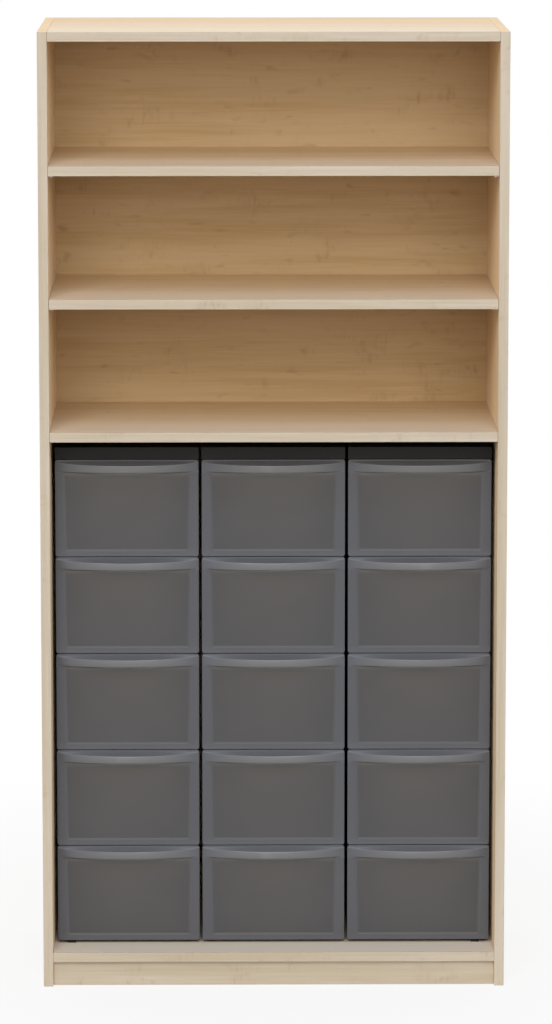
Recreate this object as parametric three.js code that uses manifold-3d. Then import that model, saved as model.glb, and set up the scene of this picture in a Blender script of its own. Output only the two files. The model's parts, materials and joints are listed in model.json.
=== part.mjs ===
// A tall open-shelf cupboard with three towers of pull-out trays below.
// Millimetres, +Z up, front towards -Y, origin at the middle of the footprint on the floor.

import * as THREE from 'three';
import { mergeVertices } from 'three/addons/utils/BufferGeometryUtils.js';
import Module from 'manifold-3d';

const wasm = await Module();
wasm.setup();

// Carcass
const WIDTH = 918;
const DEPTH = 480;
const HEIGHT = 1900;
const BOARD = 19;
const FIT = 0.3;
const SHELF_CLEARANCE = 242;
const SHELF_END_PLAY = 0.5;
const SHELF_SET_BACK = 1;
const FIXED_SHELF_TOP = 1116;
const PLINTH_HEIGHT = 50;
const PLINTH_SET_BACK = 12;
const REAR_PLINTH_SET_IN = 40;
const BACK_BOARD = 8;
const BACK_SET_IN = 17;
const GROOVE_DEPTH = 8;

// Shelf pins
const PIN_STEM_RADIUS = 2.5;
const PIN_STEM_LENGTH = 9.5;
const PIN_STUD_RADIUS = 3.5;
const PIN_STUD_LENGTH = 8;
const PIN_SET_IN = 45;
const PIN_FACETS = 12;

// Drawer towers
const TOWER_PITCH = 290.3;
const TOWER_INSET = 82;
const ROWS = 5;
const ROW_PITCH = 195.4;
const FOOT_HEIGHT = 5;
const FOOT_WIDTH = 16;
const FOOT_LENGTH = 30;
const FOOT_OFFSET = 114.7;
const FOOT_SET_BACK = 28;
const COVER_HEIGHT = 24;
const STOP_HEIGHT = 3.5;
const STOP_LENGTH = 26;

// Housings
const HOUSING_WIDTH = 281;
const HOUSING_SET_BACK = 5;
const HOUSING_DEPTH = 360;
const WALL = 2.5;
const RUNNER_WIDTH = 8;
const RUNNER_THICKNESS = 3;
const RUNNER_HEIGHT = 176;
const KEEPER_WIDTH = 6;
const KEEPER_LENGTH = 30;
const KEEPER_HEIGHT = 185;
const TONGUE_DEPTH = 6;
const TONGUE_THICKNESS = 2.2;
const TONGUE_PLAY = 0.6;
const TONGUE_END = 14;

// Drawers
const FRONT_WIDTH = 284.5;
const FRONT_GAP = 1;
const FRONT_THICKNESS = 3;
const FRONT_CORNER = 5;
const TRAY_TOP_WIDTH = 252;
const TRAY_BOTTOM_WIDTH = 237;
const TRAY_TOP = 184;
const TRAY_BOTTOM = 13;
const TRAY_LENGTH = 352;
const TRAY_REAR_DRAFT = 7;
const TRAY_WALL = 2.2;
const FLANGE_WIDTH = 11;
const FLANGE_THICKNESS = 3;
const FLANGE_PLAY = 0.5;
const TRAVEL = 280;
const LUG_LENGTH = 8;
const LUG_HEIGHT = 4.5;
const LUG_WIDTH = 5;
const STOP_PLAY = 1;
const FIELD_TOP = 166;
const FIELD_BOTTOM = 15;
const FIELD_TOP_WIDTH = 249;
const FIELD_BOTTOM_WIDTH = 236;
const FIELD_RECESS = 1.2;

// Bow lip across the head of each drawer front, measured down from the top edge
const LIP_SEGMENTS = 14;
const LIP_BOW = 14;
const LIP_END = 1;
const LIP_TILT = 2.5;
const LIP_UPPER_END = 4;
const LIP_UPPER_DIP = 6.8;
const LIP_LOWER_END = 21;
const LIP_LOWER_DIP = 3;
const LIP_LEDGE = 3;
const COVE_RISE = 6;
const COVE_REACH = 0.4;
const COVE_HEIGHT = 0.25;

const INNER = WIDTH / 2 - BOARD;
const FRONT = -DEPTH / 2;
const REAR = DEPTH / 2;
const BACK_FACE = REAR - BACK_SET_IN - BACK_BOARD;
const BOTTOM_TOP = PLINTH_HEIGHT + BOARD;
const TOWER_BASE = BOTTOM_TOP + FOOT_HEIGHT;
const TOWER_FRONT = FRONT + TOWER_INSET;
const HOUSING_FRONT = TOWER_FRONT + HOUSING_SET_BACK;
const HOUSING_REAR = HOUSING_FRONT + HOUSING_DEPTH;

const MAPLE = new THREE.MeshStandardMaterial({ color: 0xcdb58f, roughness: 0.5, metalness: 0 });
const STEEL = new THREE.MeshStandardMaterial({ color: 0xb8bcc0, roughness: 0.35, metalness: 1 });
const ANTHRACITE = new THREE.MeshStandardMaterial({ color: 0x2a2926, roughness: 0.55, metalness: 0 });
const SMOKE = new THREE.MeshStandardMaterial({ color: 0x62615f, roughness: 0.4, metalness: 0 });

// Solids and their joins

function toSolid(geometry) {
  const bare = geometry.clone();
  bare.deleteAttribute('normal');
  bare.deleteAttribute('uv');
  const merged = mergeVertices(bare, 1e-4);
  return new wasm.Manifold(new wasm.Mesh({
    numProp: 3,
    vertProperties: new Float32Array(merged.attributes.position.array),
    triVerts: new Uint32Array(merged.index.array),
  }));
}

function toGeometry(solid) {
  const mesh = solid.getMesh();
  const geometry = new THREE.BufferGeometry();
  geometry.setAttribute('position', new THREE.BufferAttribute(mesh.vertProperties.slice(), 3));
  geometry.setIndex(new THREE.BufferAttribute(mesh.triVerts.slice(), 1));
  geometry.computeVertexNormals();
  return geometry;
}

function block([x0, x1], [y0, y1], [z0, z1]) {
  const box = new THREE.BoxGeometry(x1 - x0, y1 - y0, z1 - z0);
  box.translate((x0 + x1) / 2, (y0 + y1) / 2, (z0 + z1) / 2);
  return toSolid(box);
}

function mirroredBlocks([x0, x1], y, z) {
  return block([x0, x1], y, z).add(block([-x1, -x0], y, z));
}

function join(solids) {
  return solids.reduce((whole, solid) => whole.add(solid));
}

// A closed skin over rings of equally many points, with a fan over each end ring. Each ring runs
// anticlockwise as seen from the end that the rings go towards.
function loft(rings) {
  const count = rings[0].length;
  const points = rings.flat(2);
  const faces = [];
  for (let ring = 0; ring + 1 < rings.length; ring += 1) {
    for (let i = 0; i < count; i += 1) {
      const a = ring * count + i;
      const b = ring * count + ((i + 1) % count);
      faces.push(a, b, b + count, a, b + count, a + count);
    }
  }
  const last = (rings.length - 1) * count;
  for (let i = 1; i + 1 < count; i += 1) {
    faces.push(0, i + 1, i);
    faces.push(last, last + i, last + i + 1);
  }
  const geometry = new THREE.BufferGeometry();
  geometry.setAttribute('position', new THREE.Float32BufferAttribute(points, 3));
  geometry.setIndex(faces);
  return toSolid(geometry);
}

// A rectangle in plan at one height, anticlockwise seen from above.
function planRing(halfWidth, y0, y1, z) {
  return [
    [-halfWidth, y0, z],
    [halfWidth, y0, z],
    [halfWidth, y1, z],
    [-halfWidth, y1, z],
  ];
}

function piece(name, solid, material) {
  const mesh = new THREE.Mesh(toGeometry(solid), material);
  mesh.name = name;
  return mesh;
}

// Carcass

const GROOVE_Y = [BACK_FACE - FIT, BACK_FACE + BACK_BOARD + FIT];
const SHELF_TOPS = {
  upper: HEIGHT - BOARD - SHELF_CLEARANCE,
  middle: HEIGHT - 2 * BOARD - 2 * SHELF_CLEARANCE,
};
const PIN_PLACES = { front: FRONT + PIN_SET_IN, rear: BACK_FACE - PIN_SET_IN };

function pinHeight(shelfTop) {
  return shelfTop - BOARD - FIT - PIN_STUD_RADIUS;
}

// A round bar along +X from the origin, stepped by [radius, length] pairs.
function steppedBar(steps) {
  const profile = [new THREE.Vector2(0, 0)];
  let reach = 0;
  for (const [radius, length] of steps) {
    profile.push(new THREE.Vector2(radius, reach));
    reach += length;
    profile.push(new THREE.Vector2(radius, reach));
  }
  profile.push(new THREE.Vector2(0, reach));
  const bar = new THREE.LatheGeometry(profile, PIN_FACETS);
  bar.rotateZ(-Math.PI / 2);
  return toSolid(bar);
}

// The upright on the right-hand side, its inner face at x = 0 and its outer face at x = BOARD.
function upright() {
  let side = block([0, BOARD], [FRONT, REAR], [0, HEIGHT]);
  const grooveZ = [BOTTOM_TOP - GROOVE_DEPTH, HEIGHT - BOARD + GROOVE_DEPTH];
  side = side.subtract(block([-1, GROOVE_DEPTH], GROOVE_Y, grooveZ));
  const hole = steppedBar([[PIN_STEM_RADIUS + FIT, PIN_STEM_LENGTH + 1 + FIT]]);
  for (const shelfTop of Object.values(SHELF_TOPS)) {
    for (const y of Object.values(PIN_PLACES)) {
      side = side.subtract(hole.translate([-1, y, pinHeight(shelfTop)]));
    }
  }
  return side;
}

function shelf(top, endPlay, frontSetBack, rearPlay) {
  const halfLength = INNER - endPlay;
  const y = [FRONT + frontSetBack, BACK_FACE - rearPlay];
  return block([-halfLength, halfLength], y, [top - BOARD, top]);
}

// Top and bottom boards run the full depth and hold the back in a groove.
function groovedBoard(z0, grooveZ) {
  const halfLength = INNER - FIT;
  const board = block([-halfLength, halfLength], [FRONT, REAR], [z0, z0 + BOARD]);
  return board.subtract(block([-INNER, INNER], GROOVE_Y, grooveZ));
}

function carcass() {
  const group = new THREE.Group();

  const right = piece('right_side', upright(), MAPLE);
  right.position.x = INNER;
  const left = piece('left_side', upright().mirror([1, 0, 0]), MAPLE);
  left.position.x = -INNER;
  group.add(left, right);

  const topZ = HEIGHT - BOARD;
  group.add(piece('top_panel', groovedBoard(topZ, [topZ - 1, topZ + GROOVE_DEPTH]), MAPLE));
  const bottomGroove = [BOTTOM_TOP - GROOVE_DEPTH, BOTTOM_TOP + 1];
  group.add(piece('bottom_panel', groovedBoard(PLINTH_HEIGHT, bottomGroove), MAPLE));

  for (const [level, top] of Object.entries(SHELF_TOPS)) {
    group.add(piece(`${level}_shelf`, shelf(top, SHELF_END_PLAY, SHELF_SET_BACK, 1), MAPLE));
  }
  group.add(piece('fixed_shelf', shelf(FIXED_SHELF_TOP, FIT, 0, FIT), MAPLE));

  const backHalf = INNER + GROOVE_DEPTH - FIT;
  const backZ = [BOTTOM_TOP - GROOVE_DEPTH + FIT, HEIGHT - BOARD + GROOVE_DEPTH - FIT];
  const back = block([-backHalf, backHalf], [BACK_FACE, BACK_FACE + BACK_BOARD], backZ);
  group.add(piece('back_panel', back, MAPLE));

  const plinthHalf = INNER - FIT;
  const plinth = block([-plinthHalf, plinthHalf], [0, BOARD], [0, PLINTH_HEIGHT - FIT]);
  const frontPlinth = piece('front_plinth', plinth, MAPLE);
  frontPlinth.position.y = FRONT + PLINTH_SET_BACK;
  const rearPlinth = piece('rear_plinth', plinth, MAPLE);
  rearPlinth.position.y = REAR - REAR_PLINTH_SET_IN - BOARD;
  group.add(frontPlinth, rearPlinth);
  return group;
}

// Stepped pins, stem in the upright and stud under the shelf.
function shelfPins() {
  const group = new THREE.Group();
  const pin = steppedBar([[PIN_STEM_RADIUS, PIN_STEM_LENGTH], [PIN_STUD_RADIUS, PIN_STUD_LENGTH]]);
  const studFace = INNER - FIT;
  for (const [level, top] of Object.entries(SHELF_TOPS)) {
    for (const [place, y] of Object.entries(PIN_PLACES)) {
      const left = piece(`${level}_pin_${place}_left`, pin, STEEL);
      left.position.set(-studFace - PIN_STEM_LENGTH, y, pinHeight(top));
      const right = piece(`${level}_pin_${place}_right`, pin.mirror([1, 0, 0]), STEEL);
      right.position.set(studFace + PIN_STEM_LENGTH, y, pinHeight(top));
      group.add(left, right);
    }
  }
  return group;
}

// Drawer towers

const HOUSING_HALF = HOUSING_WIDTH / 2;
const HOUSING_INNER = HOUSING_HALF - WALL;
const WALL_TOP = ROW_PITCH - FIT;
const DEPTH_SPAN = [HOUSING_FRONT, HOUSING_REAR];

// Two tongues that hang from the given height and drop inside the walls of the housing below.
function stackingTongues(rootHeight) {
  const outer = HOUSING_INNER - TONGUE_PLAY;
  const y = [HOUSING_FRONT + TONGUE_END, HOUSING_REAR - WALL - TONGUE_END];
  return mirroredBlocks([outer - TONGUE_THICKNESS, outer], y, [-TONGUE_DEPTH, rootHeight]);
}

function feet() {
  const x = [FOOT_OFFSET - FOOT_WIDTH / 2, FOOT_OFFSET + FOOT_WIDTH / 2];
  const front = TOWER_FRONT + FOOT_SET_BACK;
  const rear = HOUSING_REAR - FOOT_SET_BACK;
  const z = [-FOOT_HEIGHT + FIT, WALL];
  return mirroredBlocks(x, [front, front + FOOT_LENGTH], z)
    .add(mirroredBlocks(x, [rear - FOOT_LENGTH, rear], z));
}

// An open-fronted shell: floor, two walls with runners and keepers, and a back.
function housing(standing) {
  const runnerZ = [RUNNER_HEIGHT, RUNNER_HEIGHT + RUNNER_THICKNESS];
  const keeperZ = [KEEPER_HEIGHT, KEEPER_HEIGHT + RUNNER_THICKNESS];
  const keeperY = [HOUSING_FRONT, HOUSING_FRONT + KEEPER_LENGTH];
  const rootX = HOUSING_INNER + WALL / 2;
  return join([
    block([-HOUSING_HALF, HOUSING_HALF], DEPTH_SPAN, [0, WALL]),
    mirroredBlocks([HOUSING_INNER, HOUSING_HALF], DEPTH_SPAN, [0, WALL_TOP]),
    block([-HOUSING_HALF, HOUSING_HALF], [HOUSING_REAR - WALL, HOUSING_REAR], [0, WALL_TOP]),
    mirroredBlocks([HOUSING_INNER - RUNNER_WIDTH, rootX], DEPTH_SPAN, runnerZ),
    mirroredBlocks([HOUSING_INNER - KEEPER_WIDTH, rootX], keeperY, keeperZ),
    standing ? feet() : stackingTongues(WALL),
  ]);
}

// A lid with a face over the front and skirts that stand on the top housing's walls.
function cover() {
  const half = FRONT_WIDTH / 2;
  const faceY = [TOWER_FRONT + 1, TOWER_FRONT + 1 + WALL];
  const lidZ = [COVER_HEIGHT - WALL, COVER_HEIGHT];
  return join([
    block([-half, half], faceY, [FRONT_GAP / 2, COVER_HEIGHT]),
    block([-HOUSING_HALF, HOUSING_HALF], [faceY[0] + WALL / 2, HOUSING_REAR], lidZ),
    mirroredBlocks([HOUSING_INNER, HOUSING_HALF], DEPTH_SPAN, [0, COVER_HEIGHT]),
    block([-HOUSING_HALF, HOUSING_HALF], [HOUSING_REAR - WALL, HOUSING_REAR], [0, COVER_HEIGHT]),
    stackingTongues(COVER_HEIGHT),
  ]);
}

// The flat plate of a drawer front, with round corners.
function frontPlate() {
  const half = FRONT_WIDTH / 2;
  const z0 = FRONT_GAP / 2;
  const z1 = ROW_PITCH - FRONT_GAP / 2;
  const r = FRONT_CORNER;
  const outline = new THREE.Shape();
  outline.moveTo(-half + r, z0);
  outline.lineTo(half - r, z0);
  outline.absarc(half - r, z0 + r, r, -Math.PI / 2, 0);
  outline.lineTo(half, z1 - r);
  outline.absarc(half - r, z1 - r, r, 0, Math.PI / 2);
  outline.lineTo(-half + r, z1);
  outline.absarc(-half + r, z1 - r, r, Math.PI / 2, Math.PI);
  outline.lineTo(-half, z0 + r);
  outline.absarc(-half + r, z0 + r, r, Math.PI, 1.5 * Math.PI);
  const options = { depth: FRONT_THICKNESS, bevelEnabled: false, curveSegments: 3 };
  const plate = new THREE.ExtrudeGeometry(outline, options);
  plate.rotateX(Math.PI / 2);
  plate.translate(0, TOWER_FRONT + FRONT_THICKNESS, 0);
  return toSolid(plate);
}

// The lip bows forward as a parabola over the width and its edges dip with it.
function bowLip() {
  const half = FRONT_WIDTH / 2 - FRONT_CORNER / 2;
  const top = ROW_PITCH - FRONT_GAP / 2;
  const root = TOWER_FRONT + FRONT_THICKNESS / 2;
  const rings = [];
  for (let i = 0; i <= LIP_SEGMENTS; i += 1) {
    const t = (2 * i) / LIP_SEGMENTS - 1;
    const x = t * half;
    const swell = 1 - t * t;
    const bow = LIP_END + (LIP_BOW - LIP_TILT - LIP_END) * swell;
    const tilt = LIP_TILT * swell;
    const upper = top - LIP_UPPER_END - LIP_UPPER_DIP * swell;
    const lower = top - LIP_LOWER_END - LIP_LOWER_DIP * swell;
    const cove = upper + 0.5 + (COVE_RISE - 0.5) * swell;
    rings.push([
      [x, root, cove],
      [x, TOWER_FRONT, cove],
      [x, TOWER_FRONT - COVE_REACH * bow, upper + COVE_HEIGHT * (cove - upper)],
      [x, TOWER_FRONT - bow, upper],
      [x, TOWER_FRONT - bow - tilt, lower],
      [x, TOWER_FRONT, lower - LIP_LEDGE],
      [x, root, lower - LIP_LEDGE],
    ]);
  }
  return loft(rings);
}

// A drafted tray that hangs by side flanges, with a lug on each flange that meets the keeper.
function tray() {
  const y0 = TOWER_FRONT + FRONT_THICKNESS / 2;
  const inner0 = TOWER_FRONT + FRONT_THICKNESS + 0.5;
  const y1 = y0 + TRAY_LENGTH;
  const topHalf = TRAY_TOP_WIDTH / 2;
  const bottomHalf = TRAY_BOTTOM_WIDTH / 2;
  const outer = loft([
    planRing(bottomHalf, y0, y1 - TRAY_REAR_DRAFT, TRAY_BOTTOM),
    planRing(topHalf, y0, y1, TRAY_TOP),
  ]);
  const hollow = loft([
    planRing(bottomHalf - TRAY_WALL, inner0, y1 - TRAY_REAR_DRAFT - TRAY_WALL, TRAY_BOTTOM + TRAY_WALL),
    planRing(topHalf - TRAY_WALL, inner0, y1 - TRAY_WALL, TRAY_TOP + 1),
  ]);
  const flangeZ = RUNNER_HEIGHT + RUNNER_THICKNESS + FLANGE_PLAY;
  const flangeTop = flangeZ + FLANGE_THICKNESS;
  const flangeX = [topHalf - TRAY_WALL / 2, topHalf - 1 + FLANGE_WIDTH];
  const lugY = HOUSING_FRONT + KEEPER_LENGTH + STOP_PLAY + TRAVEL;
  const lugX = [flangeX[1] - LUG_WIDTH, flangeX[1]];
  return join([
    outer.subtract(hollow),
    mirroredBlocks(flangeX, [y0, y1 - TRAY_WALL], [flangeZ, flangeTop]),
    mirroredBlocks(lugX, [lugY, lugY + LUG_LENGTH], [flangeZ + 1, flangeTop + LUG_HEIGHT]),
  ]);
}

function fieldRecess() {
  const outline = [
    [-FIELD_BOTTOM_WIDTH / 2, FIELD_BOTTOM],
    [FIELD_BOTTOM_WIDTH / 2, FIELD_BOTTOM],
    [FIELD_TOP_WIDTH / 2, FIELD_TOP],
    [-FIELD_TOP_WIDTH / 2, FIELD_TOP],
  ];
  const ringAt = (y) => outline.map(([x, z]) => [x, y, z]);
  return loft([ringAt(TOWER_FRONT + FIELD_RECESS), ringAt(TOWER_FRONT - 1)]);
}

function drawer() {
  return frontPlate().subtract(fieldRecess()).add(bowLip()).add(tray());
}

function towers() {
  const group = new THREE.Group();
  const stacked = housing(false);
  const standing = housing(true);
  const drawerSolid = drawer();
  const coverSolid = cover();
  ['left', 'middle', 'right'].forEach((place, column) => {
    const tower = new THREE.Group();
    tower.position.set((column - 1) * TOWER_PITCH, 0, TOWER_BASE);
    for (let row = 1; row <= ROWS; row += 1) {
      const level = new THREE.Group();
      level.position.z = (ROWS - row) * ROW_PITCH;
      level.add(piece(`${place}_housing_${row}`, row === ROWS ? standing : stacked, ANTHRACITE));
      level.add(piece(`${place}_drawer_${row}`, drawerSolid, SMOKE));
      tower.add(level);
    }
    const lid = piece(`${place}_cover`, coverSolid, ANTHRACITE);
    lid.position.z = ROWS * ROW_PITCH;
    tower.add(lid);
    group.add(tower);
  });
  return group;
}

// Blocks on the bottom panel that keep the outer towers from creeping forward.
function towerStops() {
  const group = new THREE.Group();
  const half = FOOT_WIDTH / 2;
  const y = [TOWER_FRONT + FRONT_THICKNESS / 2, TOWER_FRONT + FRONT_THICKNESS / 2 + STOP_LENGTH];
  const stop = block([-half, half], y, [FIT, STOP_HEIGHT]);
  for (const [place, sign] of [['left', -1], ['right', 1]]) {
    const mesh = piece(`tower_stop_${place}`, stop, ANTHRACITE);
    mesh.position.set(sign * (TOWER_PITCH + FOOT_OFFSET), 0, BOTTOM_TOP);
    group.add(mesh);
  }
  return group;
}

const unit = new THREE.Group();
unit.add(carcass(), shelfPins(), towers(), towerStops());

export default unit;
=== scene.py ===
"""Looks of a tray storage unit: a maple-decor cupboard with three towers of smoky drawers.

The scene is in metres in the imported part's frame: +Z up, the open front towards -Y, the floor at z = 0.
Sizes of mouldings and patterns are given in millimetres and turned to metres by MM.
"""

import json
import logging
import math
from dataclasses import dataclass
from enum import Enum
from typing import Any

import bpy
import numpy as np
from bpy.types import Material, Mesh, Node, NodeSocket, NodeTree
from numpy.typing import NDArray
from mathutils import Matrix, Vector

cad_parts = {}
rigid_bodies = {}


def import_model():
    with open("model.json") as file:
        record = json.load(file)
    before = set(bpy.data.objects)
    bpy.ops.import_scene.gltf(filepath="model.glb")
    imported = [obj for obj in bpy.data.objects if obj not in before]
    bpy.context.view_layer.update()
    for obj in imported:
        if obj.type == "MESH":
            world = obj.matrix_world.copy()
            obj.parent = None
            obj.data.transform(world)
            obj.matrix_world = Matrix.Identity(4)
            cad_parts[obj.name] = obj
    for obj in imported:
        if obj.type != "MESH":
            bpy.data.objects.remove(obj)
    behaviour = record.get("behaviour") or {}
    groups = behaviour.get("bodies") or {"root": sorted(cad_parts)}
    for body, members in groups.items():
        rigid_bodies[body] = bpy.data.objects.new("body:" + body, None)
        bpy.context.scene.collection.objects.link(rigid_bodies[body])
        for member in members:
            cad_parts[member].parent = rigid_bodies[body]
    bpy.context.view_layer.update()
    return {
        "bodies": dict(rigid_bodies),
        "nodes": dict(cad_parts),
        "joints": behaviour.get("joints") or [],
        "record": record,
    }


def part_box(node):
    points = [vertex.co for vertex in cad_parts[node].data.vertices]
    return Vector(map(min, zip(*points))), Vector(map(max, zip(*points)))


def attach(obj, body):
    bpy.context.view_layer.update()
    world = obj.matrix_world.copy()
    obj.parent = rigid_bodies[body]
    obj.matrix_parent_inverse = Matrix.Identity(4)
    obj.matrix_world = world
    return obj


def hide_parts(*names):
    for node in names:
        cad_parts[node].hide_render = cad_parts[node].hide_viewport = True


LOG = logging.getLogger("tray_unit")
MM = 0.001
TOWER_PLACES = ("left", "middle", "right")
TOWER_ROWS = (1, 2, 3, 4, 5)
SIDES = ("left", "right")
WHITE = (1.0, 1.0, 1.0, 1.0)
QUARTER_TURN = math.pi / 2.0

# Sockets of a Map Range node, then of a colour Mix node: three inputs and the output.
VALUE, FROM_LOW, FROM_HIGH, TO_LOW, TO_HIGH = range(5)
FACTOR, COLOUR_A, COLOUR_B, MIXED = 0, 6, 7, 2

Array = NDArray[np.float64]
Faces = list[tuple[int, ...]]
Stops = tuple[tuple[float, str], ...]
Span = tuple[float, float]
Point = tuple[float, float, float]
UNIT: Span = (0.0, 1.0)


class Grain(Enum):
    """The way the printed maple grain runs on a board."""

    ALONG_X = "along_x"
    ALONG_Z = "along_z"


class PaintedFrontLight(Enum):
    """Painted light: the colour a level board's print is painted towards at its front, warm or grey."""

    WARM = "#e2d5c0"
    GREY = "#e7e5dd"


def linear_rgba(hex_colour: str) -> tuple[float, float, float, float]:
    """Turns an sRGB hex colour into linear red, green, blue and full alpha.

    Args:
        hex_colour: six hex digits after a hash mark.

    Returns:
        Linear red, green, blue and an alpha of one.
    """
    srgb = np.array([int(hex_colour[i:i + 2], 16) for i in (1, 3, 5)]) / 255.0
    linear = np.where(srgb <= 0.04045, srgb / 12.92, ((srgb + 0.055) / 1.055) ** 2.4)
    red, green, blue = linear.tolist()
    return red, green, blue, 1.0


def smoothstep(low: float, high: float, value: Array) -> Array:
    """Rises from 0 to 1 as value goes from low to high, level at both ends: 3 t squared less 2 t cubed."""
    t = np.clip((value - low) / (high - low), 0.0, 1.0)
    return t * t * (3.0 - 2.0 * t)


def add_node(tree: NodeTree, kind: str, inputs: dict[Any, Any] | None = None, **settings: Any) -> Node:
    """Adds one shader node with its settings, values and links.

    Args:
        tree: the node tree that takes the node.
        kind: Blender's name of the node type.
        inputs: socket name or number to a value, or to an output socket to link from.
        settings: properties of the node itself.

    Returns:
        The new node.
    """
    node = tree.nodes.new(kind)
    for name, value in settings.items():
        setattr(node, name, value)
    for key, value in (inputs or {}).items():
        if isinstance(value, NodeSocket):
            tree.links.new(value, node.inputs[key])
        else:
            node.inputs[key].default_value = value
    return node


def new_material(name: str) -> tuple[Material, NodeTree]:
    """Makes an empty node material and returns it with its tree."""
    material = bpy.data.materials.new(name)
    material.use_nodes = True
    material.node_tree.nodes.clear()
    return material, material.node_tree


def surface_output(tree: NodeTree, shader: Node) -> None:
    """Links a shader to a new material output."""
    add_node(tree, "ShaderNodeOutputMaterial", {"Surface": shader.outputs[0]})


def colour_stops(ramp_node: Node, stops: Stops) -> None:
    """Sets a colour ramp's stops, which are positions with sRGB hex colours in rising order."""
    ramp = ramp_node.color_ramp
    while len(ramp.elements) < len(stops):
        ramp.elements.new(1.0)
    for element, (position, colour) in zip(ramp.elements, stops):
        element.position = position
        element.color = linear_rgba(colour)


@dataclass(frozen=True)
class FigureLayer:
    """One noise layer of the printed figure, with its length along the grain and its width across it.

    A layer of marks also has the span of noise in which they come up, and their strength at its two ends.
    """

    length_mm: float
    width_mm: float
    shift: float
    octaves: float
    span: Span = UNIT
    strength: Span = UNIT


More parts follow.
